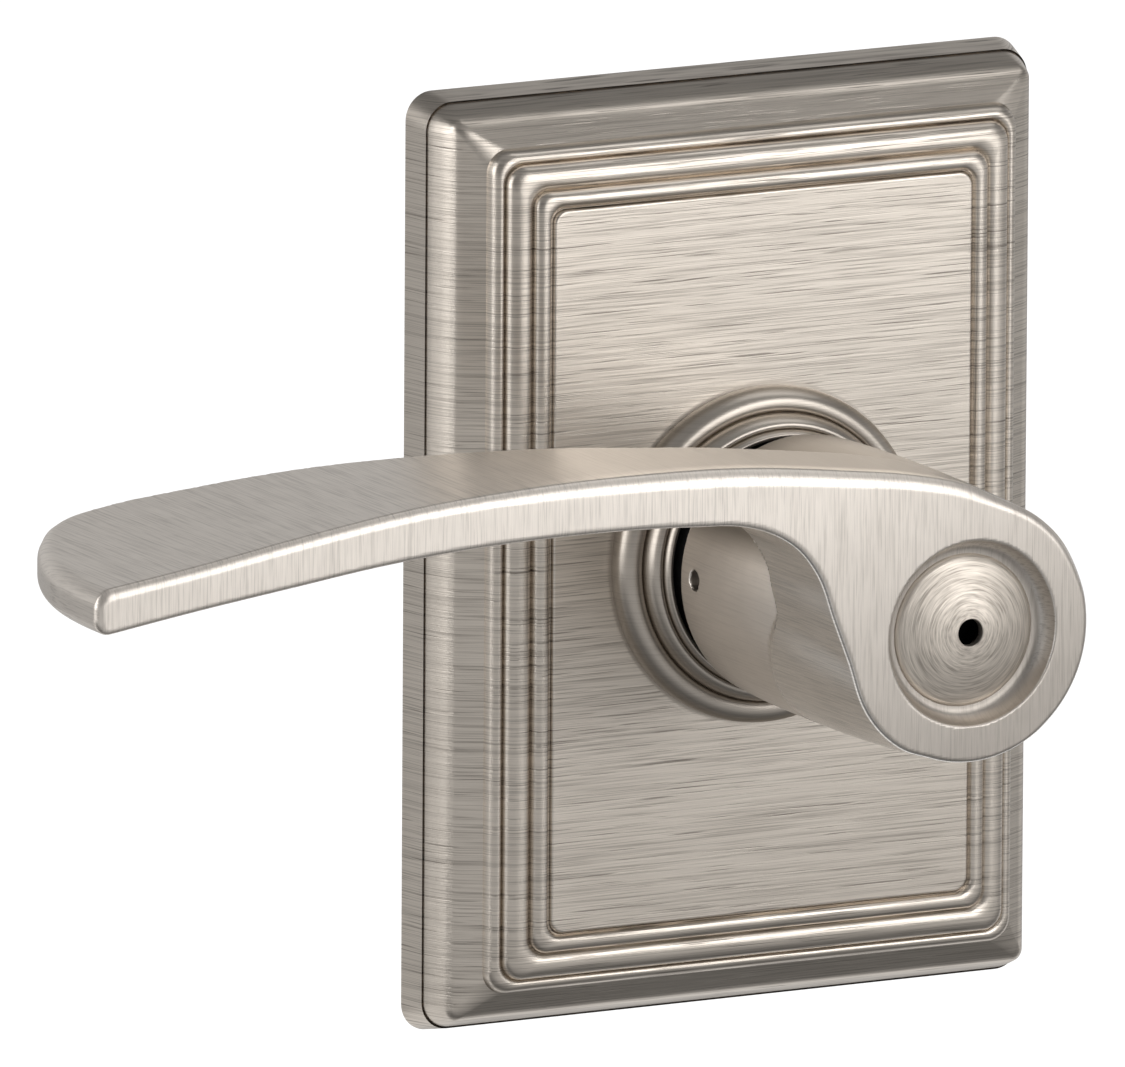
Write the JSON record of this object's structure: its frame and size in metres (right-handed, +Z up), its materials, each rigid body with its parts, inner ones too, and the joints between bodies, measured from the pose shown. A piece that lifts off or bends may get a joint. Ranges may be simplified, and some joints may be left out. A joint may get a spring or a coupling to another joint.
{
  "type": "door lever handle",
  "caption": "Door lever handle, outside half: curved arm on a round hub with a domed release cap, on a stepped rectangular rose with posts, spindle and return spring.",
  "frame": {"origin": "on the axis of the hub, on the door face that the rose sits against", "axes": "+Z up, the front of the handle towards -Y, the door at +Y, the arm points to -X"},
  "size_m": [0.1383, 0.1017, 0.1002],
  "materials": {
    "satin_nickel_rose": "satin nickel, brushed across",
    "satin_nickel_lever": "satin nickel, brushed",
    "satin_nickel_cap": "satin nickel, turned",
    "zinc_plated_steel": "zinc plated",
    "bright_steel": "machined",
    "spring_steel": "drawn wire and strip",
    "black_nylon": "moulded"
  },
  "bodies": {
    "fixed_rose": {"rose_plate": "satin_nickel_rose", "chassis_plate": "zinc_plated_steel", "rose_screws": "bright_steel", "mounting_posts": "zinc_plated_steel", "spring_cage": "zinc_plated_steel", "cage_cover": "zinc_plated_steel", "cage_rivets": "bright_steel", "return_spring": "spring_steel", "hub_bushing": "black_nylon", "thrust_washer": "bright_steel"},
    "turning_lever": {"lever": "satin_nickel_lever", "face_cap": "satin_nickel_cap", "drive_tube": "zinc_plated_steel", "driver_cam": "zinc_plated_steel", "latch_spindle": "bright_steel", "spindle_pin": "bright_steel", "snap_ring": "spring_steel", "catch_spring": "spring_steel", "release_guide": "black_nylon", "release_spring": "spring_steel"},
    "catch": {"lever_catch": "bright_steel"},
    "release": {"release_rod": "bright_steel"}
  },
  "joints": [
    {"name": "lever_turn", "type": "hinge", "parent": "fixed_rose", "child": "turning_lever", "pos_m": [0, 0, 0], "axis": [0, -1, 0], "range_deg": [-45, 45], "stiffness_Nm_per_rad": 1.2, "springref_deg": -3.44, "deforming": ["return_spring"]},
    {"name": "catch_press", "type": "slide", "parent": "turning_lever", "child": "catch", "axis": [0.9994, 0, -0.0349], "range_m": [0, 0.0023], "stiffness_N_per_m": 600, "springref_m": -0.001, "deforming": ["catch_spring"]},
    {"name": "release_push", "type": "slide", "parent": "turning_lever", "child": "release", "axis": [0, 1, 0], "range_m": [0, 0.0035], "stiffness_N_per_m": 300, "springref_m": -0.002, "deforming": ["release_spring"]}
  ]
}
